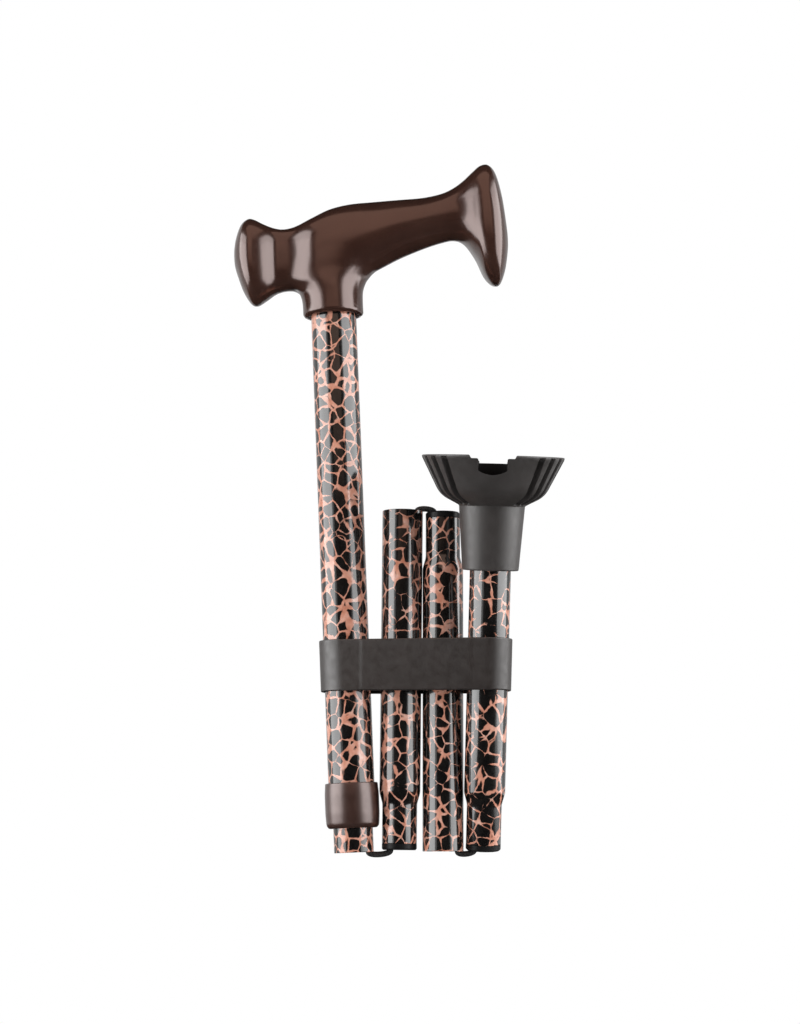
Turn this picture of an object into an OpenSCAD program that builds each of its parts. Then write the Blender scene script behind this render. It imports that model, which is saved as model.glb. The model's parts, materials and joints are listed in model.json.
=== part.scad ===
// Folding cane, folded and held by its storage strap.
// Front view along +Y. +Z runs up the upper tube, and the origin is on its axis inside the grip.
// All lengths are in millimetres and all angles in degrees.

/* [Tubes] */
// Outer diameter of the inner tube and the three fold tubes
tube_d = 19; // [17:0.5:21]
// Wall of the inner tube and the fold tubes
tube_wall = 1.05; // [0.8:0.05:1.4]
// Wall of the upper tube
upper_wall = 1; // [0.8:0.05:1.4]
// Length of a fold tube from its neck's end to its socket
fold_tube_len = 163.5; // [150:0.5:190]
// Straight length of a swaged neck
neck_len = 22; // [16:0.5:30]
// Length of the taper between neck and tube
taper_len = 5.5; // [3:0.5:9]
// Length of the inner tube
inner_tube_len = 200; // [190:1:215]

/* [Fits] */
// Running clearance on radius of sliding and turning fits
slide_fit = 0.08; // [0.04:0.01:0.1]
// Clearance on radius of pieces that are pressed or glued
glue_fit = 0.02; // [0.01:0.01:0.05]
// Clearance between pieces that pass each other freely
free_gap = 0.35; // [0.3:0.05:0.5]

/* [Height lock] */
// Wall of the bushing's sleeve
bushing_wall = 0.52; // [0.4:0.02:0.8]
// Length of the bushing inside the upper tube
bushing_sleeve_len = 26; // [18:1:36]
// Length of the bushing's head below the upper tube
bushing_head_len = 10; // [8:0.5:14]
// Width of the slots that let the head's fingers flex
finger_slot = 1.2; // [0.8:0.1:2]
// Width of the bushing's bead
bead_w = 2; // [1.2:0.1:3]
// Height of the bead
bead_h = 0.55; // [0.4:0.05:0.7]
// Height of the lock collar
collar_len = 21.5; // [18:0.5:26]
// Distance of the collar above the inner tube's lower end
collar_rise = 11.6; // [8:0.2:16]
// Wall of the collar outside the upper tube
collar_wall = 1.9; // [1.7:0.1:3]
// Thickness of the lip below the bushing
collar_lip = 1.9; // [1.2:0.1:2.5]
// Rounding of the collar's lower edge
collar_round = 2.1; // [0.8:0.1:2.3]
// Distance between height holes
hole_pitch = 20; // [18:0.5:21]
// Height steps between the first and the last hole
height_steps = 6; // [5:1:6]
// Height of the snap button above the inner tube's lower end
button_rise = 185; // [180:0.5:188]
// Diameter of the snap button
button_d = 6.2; // [5:0.2:7]
// How far the button stands out of the upper tube
button_proud = 1.4; // [1:0.1:2]
// Thickness of the button's flange
flange_t = 1.2; // [0.8:0.1:1.6]
// Width of the button's flange outside the button
flange_w = 0.5; // [0.3:0.1:0.8]
// Thickness of the leaf spring
spring_t = 0.6; // [0.4:0.05:0.8]
// Width of the leaf spring
spring_w = 6; // [4:0.5:7]
// Height of the leaf spring
spring_h = 22; // [18:0.5:26]

/* [Cord] */
// Diameter of the elastic cord
cord_d = 3.2; // [2.6:0.1:4]
// Bend of the cord's centre line at a fold
cord_bend = 2.2; // [2.1:0.1:3]
// Wall of a grommet inside its neck
grommet_wall = 1.1; // [0.9:0.05:1.5]
// Thickness of a grommet's end ring
grommet_ring = 3; // [2:0.1:4]
// Length of a grommet inside its neck
grommet_stem = 12; // [8:0.5:18]
// Rounding of a grommet's outer edge
grommet_round = 0.7; // [0.4:0.1:1]
// Thickness of a cord anchor
anchor_t = 8; // [5:0.5:12]
// Diameter of the hole in a cord anchor
anchor_hole_d = 5.4; // [5:0.1:7]
// Height of the top anchor above the inner tube's lower end
top_anchor_rise = 140; // [120:1:148]
// Distance of the bottom anchor from the fourth tube's end in the foot
bottom_anchor_drop = 25; // [20:0.5:40]
// Diameter of a cord knot
knot_d = 8; // [6:0.2:10]
// Gap between the ends of cord nodes
cord_gap = 0.4; // [0.3:0.05:0.6]

/* [Folded stack] */
// Lean of the second tube away from the upper tube
second_lean = 2.92; // [2:0.05:4]
// Gap between the collar's side and the second neck, at the neck's end
collar_neck_gap = 0.3; // [0.2:0.05:1]
// Gap between second neck and third tube at the bottom
gap_low_23 = 3; // [2.5:0.1:4]
// Gap between second tube and third neck at the top
gap_high_23 = 1.6; // [1.5:0.1:3]
// Gap between third tube and fourth neck at the bottom
gap_low_34 = 1.3; // [1:0.05:3]
// Lean of the fourth tube away from the upper tube
fourth_lean = 3.82; // [3:0.02:5]
// Lean of the fourth tube towards the front, because the wide foot pushes it there
fourth_tilt = 8; // [5:0.5:10]
// Level of the second neck's end
second_end = 0.3; // [0:0.1:1]
// Level of the third socket's end
third_end = -1.2; // [-1.6:0.1:-0.8]
// Level of the fourth neck's end
fourth_end = -1.3; // [-2:0.1:0]

/* [Foot] */
// Distance of the flare above the third neck's end, along the tubes
flare_rise = 1.2; // [0.8:0.1:4]
// Length of the foot's sleeve
sleeve_len = 30.9; // [24:0.1:36]
// Wall of the sleeve at its open end
sleeve_wall = 4; // [3:0.1:5]
// Wall of the sleeve at the flare
sleeve_root_wall = 6.3; // [5:0.1:7]
// Height of the flare
flare_h = 23.6; // [20:0.1:30]
// Diameter of the flare's rim
rim_d = 68.4; // [60:0.2:80]
// Width of the tread on the rim
tread_w = 6; // [4:0.2:8]
// Depth of the hollow inside the rim
hollow_depth = 9.5; // [8:0.5:12]
// Diameter of the boss in the hollow
boss_d = 30; // [26:0.5:34]
// How far the boss stays below the tread
boss_drop = 3.6; // [2:0.2:5]
// Radius of the notch in the front and the back of the rim
notch_r = 7.2; // [5:0.2:9]
// Depth of the notch
notch_depth = 8.3; // [6:0.1:9]
// Depth of the grooves on the flare's sides
groove_depth = 1.4; // [0.8:0.1:2]
// Grooves on one side
groove_count = 10; // [6:2:10]
// Angle between grooves
groove_pitch = 11.5; // [10:0.5:12]
// Angle that one groove takes
groove_angle = 4; // [3:0.5:7]
// How far the fourth tube reaches into the flare
tube_into_flare = 6; // [2:0.5:9]

/* [Strap] */
// Height of the strap
strap_h = 24.7; // [18:0.1:30]
// Thickness of the strap
strap_t = 1.6; // [1.2:0.1:2.4]
// Level of the strap's middle on the upper tube
strap_rise = 89; // [75:1:105]

/* [Handle] */
// Length of the handle from knob to flared end
handle_span = 135.3; // [120:0.5:150]
// Height of the handle from the stem's rim to the flare's top
handle_h = 72.7; // [66:0.1:80]
// Depth of the handle at its widest
handle_depth = 36; // [32:0.5:42]
// Level of the stem's rim above the inner tube's lower end
stem_rise = 261.4; // [250:0.2:290]
// Wall of the stem round the upper tube
stem_wall = 3.7; // [3:0.1:5]
// Depth of the bore for the upper tube
stem_bore = 30; // [24:0.5:34]
// Width of the recess round the tube at the stem's rim
rim_recess_w = 1.5; // [1:0.1:2.2]
// Depth of the recess
rim_recess_h = 1.6; // [1:0.1:2.5]
// Level of the origin above the stem's rim
origin_rise = 36; // [30:1:42]

/* [Hidden] */
// Facets of true circles
$fn = 64;
// Points round one section of the handle
section_points = 36;
// Sections between two stations of the handle
section_steps = 3;
// Straight pieces of the flare's curve
flare_steps = 10;
// Power of the flare's curve
flare_power = 1.7;
// Overlap of pieces that are joined or cut through
lap = 0.5;
// Radius of the cord in its bends, in cord radii
bend_share = 1.05;
// Overlap of a straight stretch of cord with a bend, in cord radii
bend_lap_share = 0.25;
// Share of the bushing's head that is split into fingers
finger_share = 0.4;
// Shares of the leaf spring's height above the button and down to its knees
spring_top_share = 0.25;
spring_knee_share = 0.2;
// Share of the collar's rounding that its side tapers by
collar_taper_share = 0.25;
// Share of the sleeve's wall that its edge is bevelled by
sleeve_edge_share = 0.2;
// Share of the handle's span on the knob's side of the tube
knob_side_share = 0.354;
// Radius of the lower tubes
tube_r = tube_d / 2;
// Inner radius of the lower tubes
socket_r = tube_r - tube_wall;
// Outer radius of a neck
neck_r = socket_r - slide_fit;
// Inner radius of a neck
neck_bore_r = neck_r - tube_wall;
// Bore of the bushing
bushing_bore_r = tube_r + slide_fit;
// Inner radius of the upper tube
upper_bore_r = bushing_bore_r + bushing_wall;
// Outer radius of the upper tube
upper_r = upper_bore_r + upper_wall;
// Radius of the bushing's head
head_r = upper_r + free_gap - slide_fit;
// Outer radius of the collar
collar_r = upper_r + collar_wall;
// Level of the upper tube's lower end
upper_low = collar_rise + collar_lip + free_gap + bushing_head_len;
// Length of the bushing's fingers
finger_len = bushing_head_len * finger_share;
// Level of the bead's lower side
bead_low = upper_low - bushing_head_len + finger_len + bead_w / 2;
// Radius of the cord
cord_r = cord_d / 2;
// Offset of the cord from the tube's axis at a socket
cord_side = socket_r - cord_r - free_gap;
// Radius of the hole in a neck's grommet
grommet_hole_r = neck_bore_r - glue_fit - grommet_wall;
// Offset of the cord from a neck's axis, towards the tube before it
neck_side = grommet_hole_r - cord_r - free_gap;
// How far the cord's centre line stands out of a socket
cord_out = cord_r + free_gap;
// Length of the loop's leg inside a socket
leg_len = neck_len + free_gap + cord_gap;
// Radius of the button
button_r = button_d / 2;
// Radius of the holes the button passes
hole_r = button_r + free_gap;
// Tip of the button
button_tip = upper_r + button_proud;
// Outer face of the button's flange, clear of the round tube wall
flange_y = sqrt(pow(socket_r - free_gap, 2) - pow(button_r + flange_w, 2));
// Outer face of the spring under the flange
spring_y = flange_y - flange_t - cord_gap;
// Lean of the third tube
third_lean = second_lean - atan((gap_low_23 - gap_high_23) / fold_tube_len);
// Sleeve radii of the foot
sleeve_r = tube_r + sleeve_wall;
sleeve_root_r = tube_r + sleeve_root_wall;
// Axis positions at the lower ends
second_x = collar_r + neck_r + collar_neck_gap;
third_x = second_x + neck_r + tube_r + gap_low_23;
fourth_x = third_x + tube_r + neck_r + gap_low_34;
// Points of the folded stack as X and Z: neck ends and socket ends
second_neck = [second_x, second_end];
second_socket = second_neck + fold_tube_len * [sin(second_lean), cos(second_lean)];
third_socket = [third_x, third_end];
third_neck = third_socket + fold_tube_len * [sin(third_lean), cos(third_lean)];
fourth_neck = [fourth_x, fourth_end];
// Foot levels along the fourth tube, from its neck's end
flare_low = fold_tube_len + flare_rise;
foot_low = flare_low - sleeve_len;
tread_level = flare_low + flare_h;
fourth_tube_len = flare_low + tube_into_flare;
bottom_anchor_rise = fourth_tube_len - bottom_anchor_drop;
rim_r = rim_d / 2;
// Level of the origin above the inner tube's lower end
origin_level = stem_rise + origin_rise;
// Radius of the handle's stem
stem_r = upper_r + stem_wall;

// Handle stations: shares of the span, of the height (top, bottom) and of half the depth, and squareness
grip_shares = [
    [0.000, 0.488, 0.378, 0.210, 2.0],
    [0.010, 0.571, 0.309, 0.480, 2.1],
    [0.029, 0.655, 0.201, 0.700, 2.3],
    [0.055, 0.692, 0.118, 0.815, 2.5],
    [0.079, 0.685, 0.100, 0.795, 2.7],
    [0.110, 0.652, 0.132, 0.685, 3.0],
    [0.147, 0.623, 0.176, 0.515, 3.3],
    [0.184, 0.611, 0.195, 0.470, 3.5],
    [0.228, 0.627, 0.193, 0.550, 3.5],
    [0.288, 0.678, 0.186, 0.772, 3.0],
    [0.354, 0.737, 0.206, 0.825, 2.5],
    [0.428, 0.769, 0.245, 0.845, 2.2],
    [0.517, 0.780, 0.311, 0.870, 2.0],
    [0.605, 0.787, 0.389, 0.850, 2.0],
    [0.694, 0.795, 0.451, 0.770, 2.0],
    [0.761, 0.817, 0.487, 0.710, 2.0],
    [0.805, 0.849, 0.498, 0.700, 2.0],
    [0.842, 0.893, 0.468, 0.770, 2.0],
    [0.879, 0.952, 0.365, 0.890, 2.0],
    [0.908, 0.994, 0.239, 0.980, 2.0],
    [0.938, 1.000, 0.179, 1.000, 2.0],
    [0.964, 0.941, 0.184, 0.920, 2.0],
    [0.984, 0.791, 0.268, 0.700, 2.0],
    [0.996, 0.605, 0.378, 0.390, 2.0],
    [1.000, 0.523, 0.440, 0.170, 2.0]
];
// Stem stations as shares: height, left and right reach and half depth in stem radii
stem_shares = [
    [0.000, 0.95, 0.95, 0.97],
    [0.012, 0.99, 0.98, 1.01],
    [0.030, 1.01, 0.99, 1.03],
    [0.100, 1.02, 0.99, 1.03],
    [0.150, 1.07, 1.00, 1.03],
    [0.190, 1.18, 1.04, 1.03],
    [0.240, 1.36, 1.15, 1.03],
    [0.300, 1.40, 1.38, 1.02],
    [0.380, 1.30, 1.60, 1.01],
    [0.460, 1.00, 1.50, 0.98]
];

// Smooth value between stations of a list, at position u counted in stations
function station(list, i) = list[max(0, min(len(list) - 1, i))];
function smooth_at(list, u) =
    let (i = min(floor(u), len(list) - 2), t = u - i)
    let (a = station(list, i - 1), b = station(list, i), c = station(list, i + 1), d = station(list, i + 2))
    b + (c - a) * (t / 2) + (2 * a - 5 * b + 4 * c - d) * (t * t / 2) + (3 * b - a - 3 * c + d) * (t * t * t / 2);

// Sine or cosine pushed out towards a square
function squared(value, square) = sign(value) * pow(abs(value), 2 / square);

// One ring of points of the grip and of the stem
function grip_ring(s) = [
    for (k = [0 : section_points - 1])
        let (q = 360 * k / section_points)
        [
            (s[0] - knob_side_share) * handle_span,
            s[3] * handle_depth / 2 * squared(sin(q), s[4]),
            ((s[1] + s[2]) / 2 + (s[1] - s[2]) / 2 * squared(cos(q), s[4])) * handle_h
        ]
];
function stem_ring(s) = [
    for (k = [0 : section_points - 1])
        let (q = 360 * k / section_points)
        [
            ((s[2] - s[1]) / 2 + (s[2] + s[1]) / 2 * cos(q)) * stem_r,
            -s[3] * stem_r * sin(q),
            s[0] * handle_h
        ]
];

// Solid through rings of points
module loft(rings) {
    m = len(rings);
    n = len(rings[0]);
    points = [for (r = rings) for (p = r) p];
    sides = [
        for (i = [0 : m - 2]) for (k = [0 : n - 1])
            let (a = i * n + k, b = i * n + (k + 1) % n)
            each [[a, b, b + n], [a, b + n, a + n]]
    ];
    low = [for (k = [1 : n - 2]) [0, k + 1, k]];
    high = [for (k = [1 : n - 2]) let (z = (m - 1) * n) [z, z + k, z + k + 1]];
    polyhedron(points, concat(sides, low, high));
}

// Where a thing of the folded stack stands: X and Z point, lean, and whether it hangs upside down
module at_stack(point, lean, turned = false) {
    translate([point[0], 0, point[1]])
        rotate([0, lean, 0])
            rotate([turned ? 180 : 0, 0, 0])
                children();
}

// Where the fourth tube and its foot stand
module at_fourth() {
    at_stack(fourth_neck, fourth_lean)
        rotate([fourth_tilt, 0, 0])
            children();
}

// Moves everything so that the origin lies in the grip
module in_frame() {
    translate([0, 0, -origin_level])
        children();
}

// Tube with plain ends
module plain_tube(outer, inner, low, high) {
    difference() {
        translate([0, 0, low])
            cylinder(r = outer, h = high - low);
        translate([0, 0, low - lap])
            cylinder(r = inner, h = high - low + 2 * lap);
    }
}

// Fold tube: neck end at its local zero, metal starts behind the grommet's ring
module fold_tube(length) {
    taper_end = neck_len + taper_len;
    difference() {
        union() {
            translate([0, 0, grommet_ring])
                cylinder(r = neck_r, h = neck_len - grommet_ring);
            translate([0, 0, neck_len])
                cylinder(r1 = neck_r, r2 = tube_r, h = taper_len);
            translate([0, 0, taper_end])
                cylinder(r = tube_r, h = length - taper_end);
        }
        translate([0, 0, grommet_ring - lap])
            cylinder(r = neck_bore_r, h = neck_len - grommet_ring + lap);
        translate([0, 0, neck_len])
            cylinder(r1 = neck_bore_r, r2 = socket_r, h = taper_len);
        translate([0, 0, taper_end])
            cylinder(r = socket_r, h = length - taper_end + lap);
    }
}

// Ring in a neck's end that the cord runs through
module neck_grommet() {
    difference() {
        union() {
            cylinder(r1 = neck_r - grommet_round, r2 = neck_r, h = grommet_round);
            translate([0, 0, grommet_round])
                cylinder(r = neck_r, h = grommet_ring - grommet_round);
            translate([0, 0, grommet_ring])
                cylinder(r = neck_bore_r - glue_fit, h = grommet_stem);
        }
        translate([0, 0, -lap])
            cylinder(r = grommet_hole_r, h = grommet_ring + grommet_stem + 2 * lap);
        translate([0, 0, -lap])
            cylinder(r1 = grommet_hole_r + grommet_round + lap, r2 = grommet_hole_r, h = grommet_round + lap);
    }
}

// Straight cord between two points given as X and Z
module cord_between(a, b) {
    run = b - a;
    translate([a[0], 0, a[1]])
        rotate([0, atan2(run[0], run[1]), 0])
            cylinder(r = cord_r, h = norm(run));
}

// Cord inside one fold tube, from its neck's end to its socket's leg or its anchor
module cord_run(length, side) {
    cord_between([-neck_side, cord_r + 2 * cord_gap], [side, length]);
}

// Quarter bend of the cord in the XZ plane, from one angle by a turn
module cord_arc(centre, from, turn) {
    translate([centre[0], 0, centre[1]])
        rotate([90, 0, 0])
            rotate([0, 0, from])
                rotate_extrude(angle = turn)
                    translate([cord_bend, 0])
                        circle(r = cord_r * bend_share);
}

// Cord loop at a fold. The socket's mouth is at zero with +Z outwards, the next neck is on the +X side
module cord_loop(neck_middle, spread) {
    inner = [sin(spread), -cos(spread)];
    across = [-cos(spread), -sin(spread)];
    neck = neck_middle + neck_side * across;
    level = cord_out - cord_bend;
    reach = (neck[1] + cord_bend * across[1] - level) / cos(spread);
    first = [cord_side + cord_bend, level];
    second = neck + reach * inner + cord_bend * across;
    over = cord_r * bend_lap_share;
    cord_between([cord_side, -leg_len], [cord_side, level + over]);
    cord_arc(first, 90, 90);
    cord_between([first[0] - over, cord_out], [second[0] + over, cord_out]);
    cord_arc(second, spread, 90 - spread);
    cord_between(neck + (reach - over) * inner, neck + cord_r * inner);
}

// Position of a neck's end seen from a socket's mouth
function seen_from(socket, out_way, right_way, neck) = [(neck - socket) * right_way, (neck - socket) * out_way];

// Anchor plug that the cord's knot rests on
module cord_anchor(level, radius) {
    difference() {
        translate([0, 0, level])
            cylinder(r = radius - glue_fit, h = anchor_t);
        translate([0, 0, level - lap])
            cylinder(r = anchor_hole_d / 2, h = anchor_t + 2 * lap);
    }
}

// Knot on the anchor
module cord_knot(level) {
    translate([0, 0, level + anchor_t + knot_d / 2])
        sphere(d = knot_d);
}

module handle_grip() {
    grip_rings = [
        for (u = [0 : 1 / section_steps : len(grip_shares) - 1])
            grip_ring(smooth_at(grip_shares, u))
    ];
    stem_rings = [
        for (u = [0 : 1 / section_steps : len(stem_shares) - 1])
            stem_ring(smooth_at(stem_shares, u))
    ];
    color([0.24, 0.16, 0.13])
        in_frame()
            translate([0, 0, stem_rise])
                difference() {
                    resize([handle_span, 0, 0], auto = true)
                        union() {
                            loft(grip_rings);
                            loft(stem_rings);
                        }
                    translate([0, 0, -lap])
                        cylinder(r = upper_r + glue_fit, h = stem_bore + glue_fit + lap);
                    translate([0, 0, -lap])
                        cylinder(r = upper_r + rim_recess_w, h = rim_recess_h + lap);
                }
}

module upper_tube() {
    color([0.2, 0.15, 0.14])
        in_frame()
            difference() {
                plain_tube(upper_r, upper_bore_r, upper_low, stem_rise + stem_bore);
                for (i = [0 : height_steps])
                    translate([0, 0, button_rise - i * hole_pitch])
                        rotate([-90, 0, 0])
                            cylinder(r = hole_r, h = upper_r + lap);
            }
}

module collet_bushing() {
    head_low = upper_low - bushing_head_len;
    color([0.1, 0.1, 0.1])
        in_frame()
            difference() {
                union() {
                    translate([0, 0, head_low])
                        cylinder(r = head_r, h = bushing_head_len);
                    translate([0, 0, bead_low])
                        cylinder(r = head_r + bead_h, h = bead_w);
                    translate([0, 0, upper_low])
                        cylinder(r = upper_bore_r - glue_fit, h = bushing_sleeve_len);
                }
                translate([0, 0, head_low - lap])
                    cylinder(r = bushing_bore_r, h = bushing_head_len + bushing_sleeve_len + 2 * lap);
                for (a = [0, 90])
                    rotate([0, 0, a])
                        translate([-2 * head_r, -finger_slot / 2, head_low - lap])
                            cube([4 * head_r, finger_slot, finger_len + lap]);
            }
}

module lock_collar() {
    high = collar_rise + collar_len;
    taper = collar_round * collar_taper_share;
    color([0.25, 0.17, 0.14])
        in_frame()
            difference() {
                union() {
                    translate([0, 0, collar_rise])
                        cylinder(r1 = collar_r - collar_round, r2 = collar_r - taper, h = collar_round);
                    translate([0, 0, collar_rise + collar_round])
                        cylinder(r1 = collar_r - taper, r2 = collar_r, h = collar_len - collar_round - taper);
                    translate([0, 0, high - taper])
                        cylinder(r1 = collar_r, r2 = collar_r - taper, h = taper);
                }
                translate([0, 0, collar_rise - lap])
                    cylinder(r = tube_r + free_gap, h = collar_len);
                translate([0, 0, collar_rise + collar_lip])
                    cylinder(r = head_r + slide_fit, h = collar_len);
                translate([0, 0, bead_low - free_gap])
                    cylinder(r = head_r + bead_h + slide_fit, h = bead_w + 2 * free_gap);
            }
}

module inner_tube() {
    color([0.2, 0.15, 0.14])
        in_frame()
            difference() {
                plain_tube(tube_r, socket_r, 0, inner_tube_len);
                translate([0, 0, button_rise])
                    rotate([-90, 0, 0])
                        cylinder(r = hole_r, h = tube_r + lap);
            }
}

module snap_button() {
    color([0.75, 0.75, 0.78])
        in_frame()
            translate([0, 0, button_rise])
                rotate([-90, 0, 0]) {
                    translate([0, 0, flange_y - flange_t])
                        cylinder(r = button_r + flange_w, h = flange_t);
                    translate([0, 0, flange_y])
                        cylinder(r = button_r, h = button_tip - button_proud - flange_y);
                    translate([0, 0, button_tip - button_proud])
                        cylinder(r1 = button_r, r2 = button_r - button_proud / 2, h = button_proud);
                }
}

module snap_spring() {
    back = sqrt(pow(socket_r - free_gap, 2) - pow(spring_w / 2, 2));
    top = spring_h * spring_top_share;
    knee = -spring_h * spring_knee_share;
    color([0.7, 0.7, 0.72])
        in_frame()
            translate([spring_w / 2, 0, button_rise])
                rotate([90, 0, -90])
                    linear_extrude(height = spring_w)
                        polygon([
                            [-spring_y, top],
                            [-spring_y, knee],
                            [-spring_t, top - spring_h],
                            [spring_t, top - spring_h],
                            [back, knee],
                            [back, top],
                            [back - spring_t, top],
                            [back - spring_t, knee + spring_t / 2],
                            [0, top - spring_h + 2 * spring_t],
                            [-spring_y + spring_t, knee + spring_t / 2],
                            [-spring_y + spring_t, top]
                        ]);
}

module top_anchor() {
    color([0.12, 0.12, 0.12])
        in_frame()
            cord_anchor(top_anchor_rise, socket_r);
}

module top_knot() {
    color([0.06, 0.06, 0.06])
        in_frame()
            cord_knot(top_anchor_rise);
}

module cord_run_1() {
    color([0.06, 0.06, 0.06])
        in_frame()
            cord_between([cord_side, leg_len + cord_gap], [0, top_anchor_rise + anchor_t - cord_gap]);
}

module cord_loop_1() {
    color([0.06, 0.06, 0.06])
        in_frame()
            rotate([180, 0, 0])
                cord_loop(seen_from([0, 0], [0, -1], [1, 0], second_neck), second_lean);
}

module tube_2() {
    color([0.2, 0.15, 0.14])
        in_frame()
            at_stack(second_neck, second_lean)
                fold_tube(fold_tube_len);
}

module grommet_2() {
    color([0.1, 0.1, 0.1])
        in_frame()
            at_stack(second_neck, second_lean)
                neck_grommet();
}

module cord_run_2() {
    color([0.06, 0.06, 0.06])
        in_frame()
            at_stack(second_neck, second_lean)
                cord_run(fold_tube_len - leg_len - cord_gap, cord_side);
}

module cord_loop_2() {
    out_way = [sin(second_lean), cos(second_lean)];
    right_way = [cos(second_lean), -sin(second_lean)];
    color([0.06, 0.06, 0.06])
        in_frame()
            at_stack(second_socket, second_lean)
                cord_loop(seen_from(second_socket, out_way, right_way, third_neck), second_lean - third_lean);
}

module tube_3() {
    color([0.2, 0.15, 0.14])
        in_frame()
            at_stack(third_neck, third_lean, true)
                fold_tube(fold_tube_len);
}

module grommet_3() {
    color([0.1, 0.1, 0.1])
        in_frame()
            at_stack(third_neck, third_lean, true)
                neck_grommet();
}

module cord_run_3() {
    color([0.06, 0.06, 0.06])
        in_frame()
            at_stack(third_neck, third_lean, true)
                cord_run(fold_tube_len - leg_len - cord_gap, cord_side);
}

module cord_loop_3() {
    out_way = [-sin(third_lean), -cos(third_lean)];
    right_way = [cos(third_lean), -sin(third_lean)];
    color([0.06, 0.06, 0.06])
        in_frame()
            at_stack(third_socket, third_lean, true)
                cord_loop(seen_from(third_socket, out_way, right_way, fourth_neck), fourth_lean - third_lean);
}

module tube_4() {
    color([0.2, 0.15, 0.14])
        in_frame()
            at_fourth()
                fold_tube(fourth_tube_len);
}

module grommet_4() {
    color([0.1, 0.1, 0.1])
        in_frame()
            at_fourth()
                neck_grommet();
}

module cord_run_4() {
    color([0.06, 0.06, 0.06])
        in_frame()
            at_fourth()
                cord_run(bottom_anchor_rise + anchor_t - cord_gap, 0);
}

module bottom_anchor() {
    color([0.12, 0.12, 0.12])
        in_frame()
            at_fourth()
                cord_anchor(bottom_anchor_rise, socket_r);
}

module bottom_knot() {
    color([0.06, 0.06, 0.06])
        in_frame()
            at_fourth()
                cord_knot(bottom_anchor_rise);
}

// Radius of the flare at a share of its height
function flare_r(w) = sleeve_root_r + (rim_r - sleeve_root_r) * (1 - pow(1 - w, flare_power));
function flare_curve(inset) = [
    for (i = [0 : flare_steps])
        let (w = i / flare_steps)
        [flare_r(w) - inset, flare_low + w * flare_h]
];

// One groove up the side of the flare
module flare_groove(side) {
    outer = [for (i = [flare_steps : -1 : 1]) flare_curve(-lap)[i]];
    inner = [for (i = [1 : flare_steps]) flare_curve(groove_depth)[i]];
    rotate([0, 0, side - groove_angle / 2])
        rotate_extrude(angle = groove_angle)
            polygon(concat(inner, [[rim_r + lap, tread_level + lap]], outer));
}

module rubber_foot() {
    floor_level = tread_level - hollow_depth;
    boss_top = tread_level - boss_drop;
    edge = sleeve_wall * sleeve_edge_share;
    color([0.2, 0.19, 0.19])
        in_frame()
            at_fourth()
                difference() {
                    rotate_extrude()
                        polygon(concat(
                            [[0, foot_low], [sleeve_r - edge, foot_low], [sleeve_r, foot_low + edge]],
                            flare_curve(0),
                            [
                                [rim_r - tread_w, tread_level],
                                [rim_r - tread_w - hollow_depth / 2, floor_level],
                                [boss_d / 2, floor_level],
                                [boss_d / 2, boss_top - edge],
                                [boss_d / 2 - edge, boss_top],
                                [0, boss_top]
                            ]
                        ));
                    translate([0, 0, foot_low - lap])
                        cylinder(r = tube_r + glue_fit, h = fourth_tube_len - foot_low + lap + glue_fit);
                    for (s = [0, 180]) {
                        for (i = [0 : groove_count - 1])
                            flare_groove(s + (i - (groove_count - 1) / 2) * groove_pitch);
                        rotate([0, 0, s])
                            translate([0, -boss_d / 2 - lap, tread_level - notch_depth + notch_r])
                                rotate([90, 0, 0])
                                    cylinder(r = notch_r, h = rim_r);
                    }
                }
}

// Space that a band takes round the four tubes, at a distance from them
module bundle_space(distance) {
    low = strap_rise - strap_h;
    hull() {
        translate([0, 0, low])
            cylinder(r = upper_r + distance, h = 2 * strap_h);
        at_stack(second_neck, second_lean)
            translate([0, 0, low])
                cylinder(r = tube_r + distance, h = 2 * strap_h);
        at_stack(third_socket, third_lean)
            translate([0, 0, low])
                cylinder(r = tube_r + distance, h = 2 * strap_h);
        at_fourth()
            translate([0, 0, low])
                cylinder(r = tube_r + distance, h = 2 * strap_h);
    }
}

module storage_strap() {
    color([0.22, 0.2, 0.2])
        in_frame()
            difference() {
                intersection() {
                    bundle_space(free_gap + strap_t);
                    at_stack([0, strap_rise], third_lean)
                        cube([2 * handle_span, 2 * handle_span, strap_h], center = true);
                }
                bundle_space(free_gap);
            }
}

handle_grip();
upper_tube();
collet_bushing();
lock_collar();
inner_tube();
snap_button();
snap_spring();
top_anchor();
top_knot();
cord_run_1();
cord_loop_1();
tube_2();
grommet_2();
cord_run_2();
cord_loop_2();
tube_3();
grommet_3();
cord_run_3();
cord_loop_3();
tube_4();
grommet_4();
cord_run_4();
bottom_anchor();
bottom_knot();
rubber_foot();
storage_strap();
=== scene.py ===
"""Looks of the folding cane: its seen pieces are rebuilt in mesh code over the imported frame."""
import json
import math

import bmesh
import bpy
import numpy as np
from mathutils import Matrix, Vector


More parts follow.
